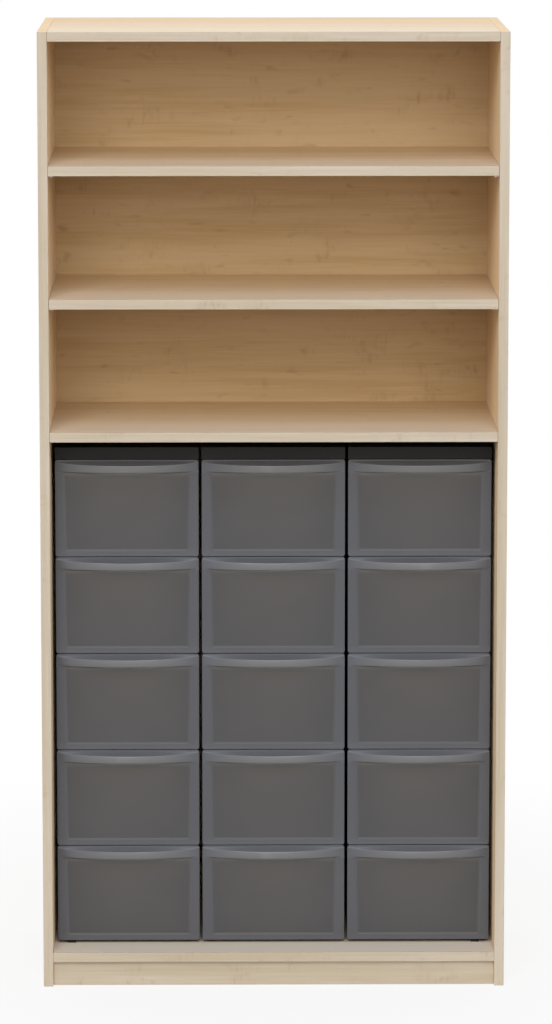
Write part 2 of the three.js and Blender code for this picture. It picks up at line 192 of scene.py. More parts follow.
@dataclass(frozen=True)
class MapleMelamine:
    """Maple-decor melamine board: printed paper pressed on chipboard, with a plastic band on the front edge.

    The print gives long pale streaks, clusters of short ticks across the grain and small dark flecks under
    a satin resin film. On the level boards the print is painted paler towards the front, as painted light.
    The film's sheen is fuller on the uprights.
    """

    print_stops: Stops = ((0.36, "#dcc094"), (0.5, "#d7b98b"), (0.64, "#cdad7b"))
    band_stops: Stops = ((0.38, "#d2c4ae"), (0.62, "#c5b499"))
    mark_colour: str = "#85592e"
    joint_colour: str = "#ab936d"
    streak: FigureLayer = FigureLayer(700.0, 38.0, 0.0, 3.0)
    fibre: FigureLayer = FigureLayer(150.0, 4.0, 0.7, 4.0)
    tick: FigureLayer = FigureLayer(8.0, 30.0, 1.3, 1.0, (0.45, 0.7), (0.3, 1.6))
    fleck: FigureLayer = FigureLayer(42.0, 17.0, 1.9, 1.0, (0.63, 0.88), (0.0, 0.36))
    smudge: FigureLayer = FigureLayer(70.0, 48.0, 2.4, 2.0, (0.54, 0.76), (0.0, 0.17))
    seed_step: float = 3.1
    shift_way: Point = (1.0, 1.7, 2.3)
    noise_roughness: float = 0.55
    noise_distortion: float = 0.35
    streak_weight: float = 0.66
    fibre_weight: float = 0.34
    band_mm: float = 2.0
    joint_mm: float = 0.5
    seam_mm: float = 0.1
    front_light_mm: float = 430.0
    front_light_share: float = 0.68
    fibre_span: Span = (0.3, 0.7)
    roughness: Span = (0.42, 0.54)
    pore_strength: float = 0.12
    pore_mm: float = 0.08
    ior: float = 1.5
    level_sheen: float = 0.25
    upright_sheen: float = 0.45
    sheen_roughness: float = 0.5
    sheen_tint: str = "#ffdfb8"

    def stretched_noise(self, tree: NodeTree, grain: Grain, layer: FigureLayer, seed: int) -> NodeSocket:
        """Noise on Object coordinates, stretched to a layer's length along the grain and width across it.

        Args:
            tree: the material's node tree.
            grain: which way the length runs.
            layer: the layer's sizes, shift and octaves.
            seed: number of the board, which shifts the noise, so that no two boards are alike.

        Returns:
            The noise value's socket.
        """
        along = 1.0 / (layer.length_mm * MM)
        across = 1.0 / (layer.width_mm * MM)
        scale = (along, across, across) if grain is Grain.ALONG_X else (across, across, along)
        shift = self.seed_step * seed + layer.shift
        place = add_node(tree, "ShaderNodeTexCoord")
        mapped = add_node(tree, "ShaderNodeMapping", {
            "Vector": place.outputs["Object"], "Location": [shift * way for way in self.shift_way],
            "Scale": scale})
        noise = add_node(tree, "ShaderNodeTexNoise", {
            "Vector": mapped.outputs[0], "Scale": 1.0, "Detail": layer.octaves,
            "Roughness": self.noise_roughness, "Distortion": self.noise_distortion})
        return noise.outputs[0]

    def front_share(self, tree: NodeTree, front: float, start: float, end: float) -> NodeSocket:
        """Falls smoothly from one to zero between two distances behind a board's front edge.

        Args:
            tree: the material's node tree.
            front: the front edge, as a Y value.
            start: distance in millimetres at which the fall begins.
            end: distance in millimetres at which it is over.

        Returns:
            The share's socket.
        """
        place = add_node(tree, "ShaderNodeTexCoord")
        axes = add_node(tree, "ShaderNodeSeparateXYZ", {0: place.outputs["Object"]})
        share = add_node(tree, "ShaderNodeMapRange", {
            VALUE: axes.outputs["Y"], FROM_LOW: front + start * MM, FROM_HIGH: front + end * MM,
            TO_LOW: 1.0, TO_HIGH: 0.0}, interpolation_type="SMOOTHSTEP")
        return share.outputs[0]

    def material(self, name: str, grain: Grain, seed: int, front: float | None,
                 fade: PaintedFrontLight | None) -> Material:
        """Makes one board's material.

        Args:
            name: the material's name.
            grain: which way the grain runs on the board.
            seed: number of the board, which shifts its figure.
            front: the Y value of the board's banded front edge, or None where it has no band.
            fade: the painted light's colour towards the front, or None where there is none.

        Returns:
            The material.
        """
        material, tree = new_material(name)
        streak = self.stretched_noise(tree, grain, self.streak, seed)
        fibre = self.stretched_noise(tree, grain, self.fibre, seed)
        streaks = add_node(tree, "ShaderNodeMath", {0: streak, 1: self.streak_weight}, operation="MULTIPLY")
        figure = add_node(tree, "ShaderNodeMath", {0: fibre, 1: self.fibre_weight, 2: streaks.outputs[0]},
                          operation="MULTIPLY_ADD")
        print_colour = add_node(tree, "ShaderNodeValToRGB", {0: figure.outputs[0]})
        colour_stops(print_colour, self.print_stops)

        # Flecks stand alone, and ticks show inside soft smudges.
        levels = []
        for layer in (self.fleck, self.smudge, self.tick):
            level = add_node(tree, "ShaderNodeMapRange", {
                VALUE: self.stretched_noise(tree, grain, layer, seed),
                FROM_LOW: layer.span[0], FROM_HIGH: layer.span[1],
                TO_LOW: layer.strength[0], TO_HIGH: layer.strength[1]}, interpolation_type="SMOOTHSTEP")
            levels.append(level.outputs[0])
        flecks, smudges, strokes = levels
        ticks = add_node(tree, "ShaderNodeMath", {0: smudges, 1: strokes}, operation="MULTIPLY")
        marks = add_node(tree, "ShaderNodeMath", {0: flecks, 1: ticks.outputs[0]}, operation="MAXIMUM")
        colour = add_node(tree, "ShaderNodeMix", {
            FACTOR: marks.outputs[0], COLOUR_A: print_colour.outputs[0],
            COLOUR_B: linear_rgba(self.mark_colour)}, data_type="RGBA")

        # Painted light: the print is mixed towards a paler colour near the front edge.
        if front is not None and fade is not None:
            reach = self.front_share(tree, front, 0.0, self.front_light_mm)
            share = add_node(tree, "ShaderNodeMath", {0: reach, 1: self.front_light_share}, operation="MULTIPLY")
            colour = add_node(tree, "ShaderNodeMix", {
                FACTOR: share.outputs[0], COLOUR_A: colour.outputs[MIXED],
                COLOUR_B: linear_rgba(fade.value)}, data_type="RGBA")
        if front is not None:
            joint_end = self.band_mm + self.joint_mm
            joint = self.front_share(tree, front, joint_end - self.seam_mm, joint_end)
            lined = add_node(tree, "ShaderNodeMix", {
                FACTOR: joint, COLOUR_A: colour.outputs[MIXED],
                COLOUR_B: linear_rgba(self.joint_colour)}, data_type="RGBA")
            band_colour = add_node(tree, "ShaderNodeValToRGB", {0: figure.outputs[0]})
            colour_stops(band_colour, self.band_stops)
            ticked = add_node(tree, "ShaderNodeMix", {
                FACTOR: ticks.outputs[0], COLOUR_A: band_colour.outputs[0],
                COLOUR_B: linear_rgba(self.mark_colour)}, data_type="RGBA")
            band = self.front_share(tree, front, self.band_mm - self.seam_mm, self.band_mm)
            colour = add_node(tree, "ShaderNodeMix", {
                FACTOR: band, COLOUR_A: lined.outputs[MIXED], COLOUR_B: ticked.outputs[MIXED]},
                data_type="RGBA")

        rough = add_node(tree, "ShaderNodeMapRange", {
            VALUE: fibre, FROM_LOW: self.fibre_span[0], FROM_HIGH: self.fibre_span[1],
            TO_LOW: self.roughness[0], TO_HIGH: self.roughness[1]})
        bump = add_node(tree, "ShaderNodeBump", {
            "Strength": self.pore_strength, "Distance": self.pore_mm * MM, "Height": fibre})
        sheen = self.upright_sheen if grain is Grain.ALONG_Z else self.level_sheen
        shader = add_node(tree, "ShaderNodeBsdfPrincipled", {
            "Base Color": colour.outputs[MIXED], "Roughness": rough.outputs[0], "IOR": self.ior,
            "Normal": bump.outputs[0], "Sheen Weight": sheen, "Sheen Roughness": self.sheen_roughness,
            "Sheen Tint": linear_rgba(self.sheen_tint)})
        surface_output(tree, shader)
        return material


@dataclass(frozen=True)
class SmokyPolypropylene:
    """Smoke-grey translucent polypropylene, injection moulded with a satin texture.

    Thick rims catch the light and look paler and cool. The thin panel before the dark tray looks deep and
    warm. The real texture is finer, and is drawn at a size that shows.
    """

    # The palest stops of both ramps carry painted highlights on the lip and painted light under it.
    rim_stops: Stops = ((0.0, "#52565e"), (0.3, "#5c5d61"), (0.46, "#5a5a5d"), (0.65, "#626366"),
                        (0.94, "#747372"), (1.0, "#8e8c8a"))
    panel_stops: Stops = ((0.0, "#484644"), (0.45, "#5b5652"), (0.8, "#6e6a67"), (1.0, "#a09c98"))
    texture_mm: float = 1.6
    texture_octaves: float = 1.0
    texture_strength: float = 0.08
    texture_depth_mm: float = 0.05
    cloud_mm: float = 70.0
    cloud_octaves: float = 2.0
    cloud_span: Span = (0.3, 0.7)
    cloud_drift: float = 0.03
    roughness: float = 0.38
    ior: float = 1.49
    transmission: float = 0.12

    def material(self, name: str) -> Material:
        """Makes the drawers' material, which reads each moulding's own tone and thinness attributes."""
        material, tree = new_material(name)
        tone = add_node(tree, "ShaderNodeAttribute", attribute_name="tone")
        thin = add_node(tree, "ShaderNodeAttribute", attribute_name="thinness")
        place = add_node(tree, "ShaderNodeTexCoord")
        cloud = add_node(tree, "ShaderNodeTexNoise", {
            "Vector": place.outputs["Object"], "Scale": 1.0 / (self.cloud_mm * MM),
            "Detail": self.cloud_octaves})
        drift = add_node(tree, "ShaderNodeMapRange", {
            VALUE: cloud.outputs[0], FROM_LOW: self.cloud_span[0], FROM_HIGH: self.cloud_span[1],
            TO_LOW: -self.cloud_drift, TO_HIGH: self.cloud_drift})
        shade = add_node(tree, "ShaderNodeMath", {0: tone.outputs["Fac"], 1: drift.outputs[0]},
                         operation="ADD")
        rim = add_node(tree, "ShaderNodeValToRGB", {0: shade.outputs[0]})
        colour_stops(rim, self.rim_stops)
        panel = add_node(tree, "ShaderNodeValToRGB", {0: shade.outputs[0]})
        colour_stops(panel, self.panel_stops)
        colour = add_node(tree, "ShaderNodeMix", {
            FACTOR: thin.outputs["Fac"], COLOUR_A: rim.outputs[0], COLOUR_B: panel.outputs[0]},
            data_type="RGBA")
        texture = add_node(tree, "ShaderNodeTexNoise", {
            "Vector": place.outputs["Object"], "Scale": 1.0 / (self.texture_mm * MM),
            "Detail": self.texture_octaves})
        bump = add_node(tree, "ShaderNodeBump", {
            "Strength": self.texture_strength, "Distance": self.texture_depth_mm * MM,
            "Height": texture.outputs[0]})
        shader = add_node(tree, "ShaderNodeBsdfPrincipled", {
            "Base Color": colour.outputs[MIXED], "Roughness": self.roughness, "IOR": self.ior,
            "Transmission Weight": self.transmission, "Normal": bump.outputs[0]})
        surface_output(tree, shader)
        return material


@dataclass(frozen=True)
class AnthracitePolypropylene:
    """Anthracite polypropylene, moulded against a spark-eroded tool, so it is matt with an even grit.

    The real grit is finer, and is drawn at a size that shows.
    """

    cloud_stops: Stops = ((0.35, "#1d1c1b"), (0.7, "#242321"))
    cloud_mm: float = 55.0
    cloud_octaves: float = 3.0
    cloud_span: Span = (0.3, 0.7)
    roughness: Span = (0.5, 0.6)
    grit_mm: float = 1.2
    grit_octaves: float = 1.0
    grit_strength: float = 0.15
    grit_depth_mm: float = 0.06
    ior: float = 1.49
    specular: float = 0.25

    def material(self, name: str) -> Material:
        """Makes the material of covers, housings and stops."""
        material, tree = new_material(name)
        place = add_node(tree, "ShaderNodeTexCoord")
        cloud = add_node(tree, "ShaderNodeTexNoise", {
            "Vector": place.outputs["Object"], "Scale": 1.0 / (self.cloud_mm * MM),
            "Detail": self.cloud_octaves})
        colour = add_node(tree, "ShaderNodeValToRGB", {0: cloud.outputs[0]})
        colour_stops(colour, self.cloud_stops)
        rough = add_node(tree, "ShaderNodeMapRange", {
            VALUE: cloud.outputs[0], FROM_LOW: self.cloud_span[0], FROM_HIGH: self.cloud_span[1],
            TO_LOW: self.roughness[0], TO_HIGH: self.roughness[1]})
        grit = add_node(tree, "ShaderNodeTexNoise", {
            "Vector": place.outputs["Object"], "Scale": 1.0 / (self.grit_mm * MM),
            "Detail": self.grit_octaves})
        bump = add_node(tree, "ShaderNodeBump", {
            "Strength": self.grit_strength, "Distance": self.grit_depth_mm * MM, "Height": grit.outputs[0]})
        shader = add_node(tree, "ShaderNodeBsdfPrincipled", {
            "Base Color": colour.outputs[0], "Roughness": rough.outputs[0], "IOR": self.ior,
            "Specular IOR Level": self.specular, "Normal": bump.outputs[0]})
        surface_output(tree, shader)
        return material


@dataclass(frozen=True)
class NickelPlate:
    """Turned steel with nickel plate, which gives a soft grey shine with turning marks.

    Real marks are finer, and are drawn at a size that shows.
    """

    colour: str = "#c9c5bd"
    turning_mm: float = 5.655
    wave_rate: float = 20.0
    wave_distortion: float = 0.6
    roughness: Span = (0.24, 0.36)

    def material(self, name: str) -> Material:
        """Makes the shelf pins' material, with turning marks along X.

        A wave texture at a scale of one turns wave_rate radians in a metre.
        """
        material, tree = new_material(name)
        place = add_node(tree, "ShaderNodeTexCoord")
        scale = 2.0 * math.pi / (self.turning_mm * MM) / self.wave_rate
        marks = add_node(tree, "ShaderNodeTexWave", {
            "Vector": place.outputs["Object"], "Scale": scale, "Distortion": self.wave_distortion})
        rough = add_node(tree, "ShaderNodeMapRange", {
            VALUE: marks.outputs["Fac"], TO_LOW: self.roughness[0], TO_HIGH: self.roughness[1]})
        shader = add_node(tree, "ShaderNodeBsdfPrincipled", {
            "Base Color": linear_rgba(self.colour), "Metallic": 1.0, "Roughness": rough.outputs[0]})
        surface_output(tree, shader)
        return material


@dataclass(frozen=True)
class Board:
    """One board: its CAD node, its grain, its painted front light and whether its front is banded."""

    node: str
    grain: Grain
    fade: PaintedFrontLight | None = None
    is_banded: bool = True


@dataclass
class Carcass:
    """The cupboard of maple-decor board with its shelf pins, dressed on the CAD's own solids."""

    frame: dict[str, Any]
    boards: tuple[Board, ...] = (
        Board("left_side", Grain.ALONG_Z),
        Board("right_side", Grain.ALONG_Z),
        Board("top_panel", Grain.ALONG_X, PaintedFrontLight.WARM),
        Board("upper_shelf", Grain.ALONG_X, PaintedFrontLight.WARM),
        Board("middle_shelf", Grain.ALONG_X, PaintedFrontLight.WARM),
        Board("fixed_shelf", Grain.ALONG_X, PaintedFrontLight.WARM),
        Board("bottom_panel", Grain.ALONG_X, PaintedFrontLight.GREY),
        Board("back_panel", Grain.ALONG_X, is_banded=False),
        Board("front_plinth", Grain.ALONG_X),
        Board("rear_plinth", Grain.ALONG_X, is_banded=False),
    )
    arris_mm: float = 0.8
    weld_mm: float = 0.01
    round_segments: int = 2
    round_angle: float = 40.0

    def soften_edges(self, node: str, width_mm: float) -> None:
        """Rounds a CAD node's edges to a width with live modifiers, after its triangles are welded."""
        solid = self.frame["nodes"][node]
        weld = solid.modifiers.new("weld", "WELD")
        weld.merge_threshold = self.weld_mm * MM
        bevel = solid.modifiers.new("arris", "BEVEL")
        bevel.width = width_mm * MM
        bevel.segments = self.round_segments
        bevel.limit_method = "ANGLE"
        bevel.angle_limit = math.radians(self.round_angle)

    def paint(self, node: str, material: Material) -> None:
        """Gives a CAD node one material."""
        solid = self.frame["nodes"][node]
        solid.data.materials.clear()
        solid.data.materials.append(material)

    def dress(self, maple: MapleMelamine, nickel: NickelPlate) -> None:
        """Gives the boards and pins their finishes.

        Args:
            maple: the boards' finish.
            nickel: the pins' finish.
        """
        for seed, board in enumerate(self.boards):
            low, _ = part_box(board.node)
            front = low[1] if board.is_banded else None
            material = maple.material(f"maple_{board.node}", board.grain, seed, front, board.fade)
            self.paint(board.node, material)
            self.soften_edges(board.node, self.arris_mm)
            LOG.info("dressed %s", board.node)
        plate = nickel.material("nickel_plate")
        for level in ("upper", "middle"):
            for place in ("front", "rear"):
                for side in SIDES:
                    self.paint(f"{level}_pin_{place}_{side}", plate)


@dataclass
class DrawerFront:
    """A drawer's front: a plate with a bowed lip along its top and a sunk field below it.

    It is worked out about the middle of its top edge, with x across, y backwards and z up, in millimetres.
    A tone from zero to one says how pale the plastic looks, with painted highlights on the lip and painted
    light under it, and a pair of tones is for the lip's end and its middle.
    """

    half_width: float
    height: float
    thickness: float = 3.0
    corner: float = 5.0
    arris: float = 1.2

    lip_bow: float = 14.0
    lip_end: float = 0.5
    lip_reach: float = 0.98
    lip_tilt: float = 2.5
    lip_upper_end: float = 4.0
    lip_upper_dip: float = 7.0
    lip_lower_end: float = 23.2
    lip_lower_dip: float = 2.0
    lip_end_turn: float = 0.3
    lip_round: float = 1.3
    lip_round_share: float = 0.45
    lip_crown: float = 0.5
    ledge: float = 3.0
    ledge_bend: float = 2.2
    slope_rise: float = 8.5
    slope_rise_end: float = 0.5
    slope_bend: float = 1.05

    field_depth: float = 1.2
    field_ramp: float = 5.0
    field_haze: float = 9.0
    haze_margin: float = 1.0
    field_top_half: float = 124.7
    field_bottom_half: float = 120.7
    field_foot: float = 12.7

    side_tone: float = 0.46
    foot_tone: float = 0.6
    slope_tone: float = 0.33
    # Painted highlights at the slope's ends, and painted light towards the brow that offsets the shade
    # there.
    slope_end_highlight: float = 0.35
    slope_brow_light: float = 0.3
    # The brow, lip face and chin are paler: a painted highlight along the lip.
    brow_highlight_tones: Span = (0.7, 1.0)
    face_highlight_tones: Span = (0.6, 0.94)
    face_tone_bend: float = 1.3
    chin_highlight_tones: Span = (0.62, 0.92)
    # The ledge under the lip is painted pale, as painted light that offsets its shade.
    ledge_light_tone: float = 1.0
    field_tone: float = 0.02
    field_gain: float = 0.4
    field_fall: float = 0.6
    # Painted light under the lip, which offsets the shadow that the lip casts on the field.
    glow: float = 0.65
    glow_fall: float = 2.8
    thin_fall: float = 0.25
    thin_step: Span = (-1.0, 0.5)

    edge_lines: tuple[float, ...] = (0.0, 0.15, 0.4, 0.7, 1.0, 1.4, 2.2, 3.4, 5.0, 8.0, 12.0)
    plate_lines: int = 7
    foot_edge_lines: int = 9
    foot_lines: tuple[float, ...] = (17.0, 16.0, 15.0, 14.0, 13.0, 12.0, 11.0, 10.0, 9.0, 8.0, 6.5)
    side_lines: Span = (14.0, 31.0)
    side_line_step: float = 1.5
    inner_start: float = 34.0
    inner_lines: int = 15
    slope_lines: int = 10
    round_lines: int = 5
    face_lines: int = 9
    ledge_lines: int = 8
    field_lines: int = 22

    def columns(self) -> Array:
        """Places of the grid lines across, from -1 to 1, close together at the edges and the border."""
        border = np.arange(*self.side_lines, self.side_line_step)
        inner = np.linspace(self.inner_start, self.half_width, self.inner_lines)
        inset = np.concatenate([self.edge_lines, border, inner])
        right = 1.0 - inset / self.half_width
        return np.concatenate([-right, right[-2::-1]])

    def swell(self, x: Array) -> Array:
        """How far the lip's edges have dipped at each place across: one at the middle and zero at the ends.

        Args:
            x: places across.

        Returns:
            One less a weighted mean of the second and the eighth power of the way to the end.
        """
        t = np.clip(x / (self.half_width - self.corner / 2.0), -1.0, 1.0)
        return 1.0 - (1.0 - self.lip_end_turn) * t ** 2 - self.lip_end_turn * t ** 8

    def lip_lower(self, x: Array) -> Array:
        """Height of the lip's lower edge at each place across."""
        return -(self.lip_lower_end + self.lip_lower_dip * self.swell(x))

    def field_mask(self, x: Array, z: Array, ramp: float) -> Array:
        """One inside the sunk field, which narrows downwards, and zero on the border.

        Args:
            x: places across.
            z: heights, zero at the top edge.
            ramp: width of the soft step between, which is centred on the field's edge.

        Returns:
            The product of a smooth step at the nearer side and one at the foot.
        """
        down = np.clip(-z / self.height, 0.0, 1.0)
        half = self.field_top_half + (self.field_bottom_half - self.field_top_half) * down
        sides = smoothstep(-ramp / 2.0, ramp / 2.0, half - np.abs(x))
        foot = smoothstep(-ramp / 2.0, ramp / 2.0, z + self.height - self.field_foot)
        return sides * foot

    def panel_tone(self, x: Array, z: Array) -> Array:
        """Tone of the field and the border round it.

        The field is deepest near its sides, paler towards the upper middle, and has painted light under the
        lip, which offsets the lip's shadow and falls off exponentially. The border is palest at the foot.

        Args:
            x: places across.
            z: heights, zero at the top edge.

        Returns:
            The tones.
        """
        mask = self.field_mask(x, z, self.field_haze)
        upper = np.clip(1.0 + self.field_fall * z / self.height, 0.0, 1.0)
        middle = (1.0 - (x / self.half_width) ** 2) * upper
        over_foot = smoothstep(0.0, self.field_foot + self.field_haze, z + self.height)
        border = self.foot_tone + (self.side_tone - self.foot_tone) * over_foot
        below_lip = np.minimum(z - self.lip_lower(x) + self.ledge, 0.0)
        # Painted light under the lip offsets the lip's shadow on the field.
        field = self.field_tone + self.field_gain * middle + self.glow * np.exp(below_lip / self.glow_fall)
        return border + mask * (field - border)

    def profile(self, x: Array) -> tuple[Array, Array, Array]:
        """The front's profile at every place across, from the top edge down to the bottom edge.

        The profile runs down the plate, out over a slope to the lip's upper edge, round this brow, down the
        crowned lip face, round the chin, back along the ledge to the field, and down to the foot. The lip
        stands forward on a parabola across. The slope is painted paler towards the ends, by a square, as
        painted highlights, and towards the brow, by a sixth power, as painted light that offsets its shade
        there. The brow, lip face and chin carry a painted highlight, and the ledge painted light against the
        lip's shadow.

        Args:
            x: places across.

        Returns:
            Forward reach, height and tone, each with one row per grid line and one column per place.
        """
        s = self.swell(x)
        bow = 1.0 - np.clip(x / (self.lip_reach * self.half_width), -1.0, 1.0) ** 2
        upper_bow = self.lip_end + (self.lip_bow - self.lip_tilt - self.lip_end) * bow
        lower_bow = upper_bow + self.lip_tilt * bow
        upper = -(self.lip_upper_end + self.lip_upper_dip * s)
        lower = self.lip_lower(x)
        slope_top = upper + self.slope_rise_end + (self.slope_rise - self.slope_rise_end) * s
        turn = np.minimum(self.lip_round, self.lip_round_share * upper_bow)
        tilt = np.arctan2(slope_top - upper, upper_bow - turn)

        edge = np.array(self.edge_lines)
        plate_z = -edge[:self.plate_lines, None] + 0.0 * x
        plate = (0.0 * plate_z, plate_z, self.slope_tone + 0.0 * plate_z)

        k = np.linspace(0.0, 1.0, self.slope_lines)[:, None]
        slope_h = (upper_bow - turn + turn * np.sin(tilt)) * k ** self.slope_bend
        slope_z = slope_top + (upper - turn + turn * np.cos(tilt) - slope_top) * k
        # Painted highlights at the slope's ends, and painted light towards the brow that offsets its shade.
        slope_tone = self.slope_tone + self.slope_end_highlight * (1.0 - s) ** 2 + self.slope_brow_light * k ** 6
        slope = (slope_h, slope_z, slope_tone)

        # The brow, the chin and the lip face take paler tones: a painted highlight along the lip.
        k = np.linspace(0.0, 1.0, self.round_lines)[1:, None]
        a = tilt + (QUARTER_TURN - tilt) * k
        brow = (upper_bow - turn + turn * np.sin(a), upper - turn + turn * np.cos(a),
                np.interp(s, UNIT, self.brow_highlight_tones))
        a = QUARTER_TURN * k
        chin = (lower_bow - turn + turn * np.cos(a), lower + turn - turn * np.sin(a),
                np.interp(s, UNIT, self.chin_highlight_tones))

        k = np.linspace(0.0, 1.0, self.face_lines)[1:, None]
        face_h = upper_bow + (lower_bow - upper_bow) * k + self.lip_crown * s * np.sin(math.pi * k)
        face_z = upper - turn + (lower - upper + 2.0 * turn) * k
        face = (face_h, face_z, np.interp(s ** self.face_tone_bend, UNIT, self.face_highlight_tones))

        k = np.linspace(0.0, 1.0, self.ledge_lines)[1:, None]
        ledge_foot = lower - self.ledge
        sunk = -self.field_depth * self.field_mask(x, ledge_foot, self.field_ramp)
        ledge_h = (lower_bow - turn) + (sunk - lower_bow + turn) * k
        ledge_z = lower - self.ledge * k ** self.ledge_bend
        # Painted light on the ledge offsets its shade, fading to the field's tone.
        ledge_light_tone = self.ledge_light_tone + (self.panel_tone(x, ledge_foot) - self.ledge_light_tone) * k ** 2
        ledge = (ledge_h, ledge_z, ledge_light_tone)

        k = np.linspace(0.0, 1.0, self.field_lines)[1:, None]
        field_end = self.field_foot + self.field_haze / 2.0 + self.haze_margin - self.height
        field_z = ledge_foot + (field_end - ledge_foot) * k
        over_foot = np.concatenate([self.foot_lines, edge[:self.foot_edge_lines][::-1]])
        panel_z = np.concatenate([field_z, over_foot[:, None] - self.height + 0.0 * x])
        sunk = -self.field_depth * self.field_mask(x, panel_z, self.field_ramp)
        panel = (sunk, panel_z, self.panel_tone(x, panel_z))

        parts = (plate, slope, brow, face, chin, ledge, panel)
        reach, height, tone = (
            np.concatenate([np.broadcast_to(part[i], (len(part[1]), len(x))) for part in parts])
            for i in range(3))
        return reach, height, tone

    def shell(self) -> tuple[Array, Array, Faces]:
        """The closed shell of the front: a profiled face, a rim and a flat back.

        Near the top and bottom the half width shrinks as a circle, which rounds the corners, and the face
        falls back on a quarter circle all along its edge.

        Returns:
            Vertices, their tones and the faces.
        """
        u = self.columns()
        reach, z, tone = self.profile(u * self.half_width)
        to_end = np.minimum(-z, z + self.height)
        shy = self.corner - np.clip(to_end, 0.0, self.corner)
        half = self.half_width - self.corner + np.sqrt(np.maximum(self.corner ** 2 - shy ** 2, 0.0))
        x = u * half
        to_edge = np.clip(np.minimum(to_end, half - np.abs(x)), 0.0, self.arris)
        fall = self.arris - np.sqrt(np.maximum(self.arris ** 2 - (self.arris - to_edge) ** 2, 0.0))
        face = np.stack([x, fall - reach, z], axis=-1)
        rows, columns = z.shape
        index = np.arange(rows * columns).reshape(rows, columns)
        quads = np.stack([index[:-1, :-1], index[1:, :-1], index[1:, 1:], index[:-1, 1:]], axis=-1)
        rim = np.concatenate([index[:-1, 0], index[-1, :-1], index[:0:-1, -1], index[0, :0:-1]])
        back = face.reshape(-1, 3)[rim].copy()
        back[:, 1] = self.thickness
        behind = rows * columns + np.arange(len(rim))
        strip = np.stack([rim, behind, np.roll(behind, -1), np.roll(rim, -1)], axis=-1)
        faces: Faces = [tuple(quad) for quad in np.concatenate([quads.reshape(-1, 4), strip]).tolist()]
        faces.append(tuple(behind[::-1].tolist()))
        vertices = np.concatenate([face.reshape(-1, 3), back])
        tones = np.concatenate([tone.reshape(-1), np.full(len(rim), self.side_tone)])
        return vertices, tones, faces

    def thinness(self, vertices: Array) -> Array:
        """How thin each vertex looks: one at the top of the field, less towards its foot, zero elsewhere."""
        x, _, z = vertices.T
        below_lip = smoothstep(*self.thin_step, self.lip_lower(x) - self.ledge - z)
        fading = 1.0 + self.thin_fall * z / self.height
        return fading * below_lip * self.field_mask(x, z, self.field_haze)


